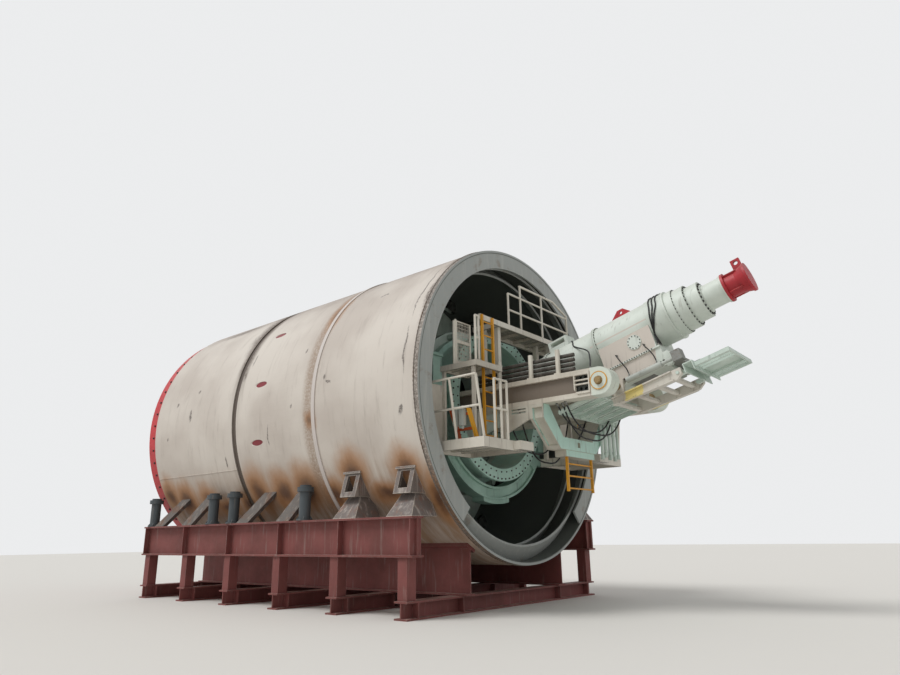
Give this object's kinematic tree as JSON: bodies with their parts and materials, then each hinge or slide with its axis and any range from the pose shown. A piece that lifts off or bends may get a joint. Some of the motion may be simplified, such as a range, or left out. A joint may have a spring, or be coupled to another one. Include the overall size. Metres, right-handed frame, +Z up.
{
  "type": "tunnel boring machine on its launch cradle",
  "caption": "Earth pressure balance tunnel boring machine: shield with cutterhead, erector, screw conveyor and platforms, standing on a launch cradle.",
  "frame": {"origin": "on the floor under the middle of the whole machine, on its centre plane", "axes": "+X from the cutterhead to the screw conveyor end, +Y to the far side in the picture, +Z up"},
  "size_m": [14.7846, 6.64, 7.39],
  "materials": {
    "shield_paint": "worn off-white paint with rust and weld burns",
    "cradle_red": "matt red oxide primer, scraped",
    "bracket_steel": "dark rusty plate",
    "jack_grey": "slate grey paint",
    "cutterhead_red": "red paint",
    "tool_steel": "bare hard steel, rusting",
    "seal_steel": "greasy spring steel plates and wire",
    "interior_green": "pale green machine enamel",
    "erector_green": "mint green enamel",
    "beam_cream": "cream enamel, dusty",
    "ladder_yellow": "yellow paint",
    "cylinder_grey": "pale grey enamel",
    "rod_chrome": "polished rods with painted shoes",
    "valve_orange": "orange paint on the front leg and yellow on the rear one",
    "pipe_grey": "dirty dark grey pipes",
    "gate_steel": "bare plate"
  },
  "bodies": {
    "machine": {"cradle_cross_frames": "cradle_red", "cradle_side_beams": "cradle_red", "cradle_rails": "cradle_red", "cradle_braces": "bracket_steel", "cradle_wedges": "bracket_steel", "shield_brackets": "bracket_steel", "lifting_jacks": "jack_grey", "front_shield": "shield_paint", "middle_shield": "shield_paint", "tail_shield": "shield_paint", "tail_seals": "seal_steel", "bulkhead": "interior_green", "main_drive": "interior_green", "thrust_ring": "interior_green", "thrust_cylinders": "cylinder_grey", "beam_frame": "interior_green", "main_beams": "beam_cream", "pipe_racks": "beam_cream", "rack_pipes": "pipe_grey", "yoke_frame": "interior_green", "beam_tray": "interior_green", "hose_bundle": "interior_green", "beam_pin": "gate_steel", "screw_casing": "beam_cream", "screw_drum": "interior_green", "screw_end_rings": "beam_cream", "screw_end_cap": "cutterhead_red", "casing_lug": "cutterhead_red", "gate_housing": "interior_green", "gate_cylinders": "cylinder_grey", "conveyor_frame": "beam_cream", "lower_platforms": "beam_cream", "middle_platforms": "beam_cream", "upper_platform": "beam_cream", "platform_railings": "beam_cream", "valve_stand": "valve_orange", "valve_blocks": "cylinder_grey", "access_ladders": "ladder_yellow", "rear_ladder": "ladder_yellow"},
    "cutterhead": {"cutterhead_body": "cutterhead_red", "disc_cutters": "tool_steel", "scraper_teeth": "tool_steel"},
    "thrust_top": {"thrust_rams_top": "rod_chrome"},
    "thrust_right": {"thrust_rams_right": "rod_chrome"},
    "thrust_bottom": {"thrust_rams_bottom": "rod_chrome"},
    "thrust_left": {"thrust_rams_left": "rod_chrome"},
    "erector_travel_frame": {"erector_carriage": "interior_green"},
    "erector_rotor": {"erector_ring": "erector_green", "lift_guides": "erector_green"},
    "erector_gripper": {"gripper_beam": "erector_green", "gripper_head": "erector_green"},
    "discharge_gate": {"gate_slide": "gate_steel"},
    "conveyor_front": {"conveyor_tip": "interior_green"},
    "safety_gate": {"mesh_gate": "beam_cream"}
  },
  "joints": [
    {"name": "cutterhead_spin", "type": "hinge", "parent": "machine", "child": "cutterhead", "pos_m": [-7.04233, 0, 4.07], "axis": [1, 0, 0], "continuous": true},
    {"name": "thrust_top_stroke", "type": "slide", "parent": "machine", "child": "thrust_top", "axis": [1, 0, 0], "range_m": [0, 1.45]},
    {"name": "thrust_right_stroke", "type": "slide", "parent": "machine", "child": "thrust_right", "axis": [1, 0, 0], "range_m": [0, 1.45]},
    {"name": "thrust_bottom_stroke", "type": "slide", "parent": "machine", "child": "thrust_bottom", "axis": [1, 0, 0], "range_m": [0, 1.45]},
    {"name": "thrust_left_stroke", "type": "slide", "parent": "machine", "child": "thrust_left", "axis": [1, 0, 0], "range_m": [0, 1.45]},
    {"name": "erector_travel", "type": "slide", "parent": "machine", "child": "erector_travel_frame", "axis": [1, 0, 0], "range_m": [-1.1, 0]},
    {"name": "erector_turn", "type": "hinge", "parent": "erector_travel_frame", "child": "erector_rotor", "pos_m": [1.45767, 0, 4.07], "axis": [1, 0, 0], "range_deg": [-200, 200]},
    {"name": "gripper_lift", "type": "slide", "parent": "erector_rotor", "child": "erector_gripper", "axis": [0, 0, -1], "range_m": [0, 0.68]},
    {"name": "gate_travel", "type": "slide", "parent": "machine", "child": "discharge_gate", "axis": [0.9627, 0, 0.2706], "range_m": [0, 0.6]},
    {"name": "conveyor_fold", "type": "hinge", "parent": "machine", "child": "conveyor_front", "pos_m": [6.05511, 0, 4.00622], "axis": [0, 1, 0], "range_deg": [0, 80]},
    {"name": "safety_gate_swing", "type": "hinge", "parent": "machine", "child": "safety_gate", "pos_m": [2.33767, -2.0817, 4.97], "axis": [0, 0, -1], "range_deg": [0, 90]}
  ]
}
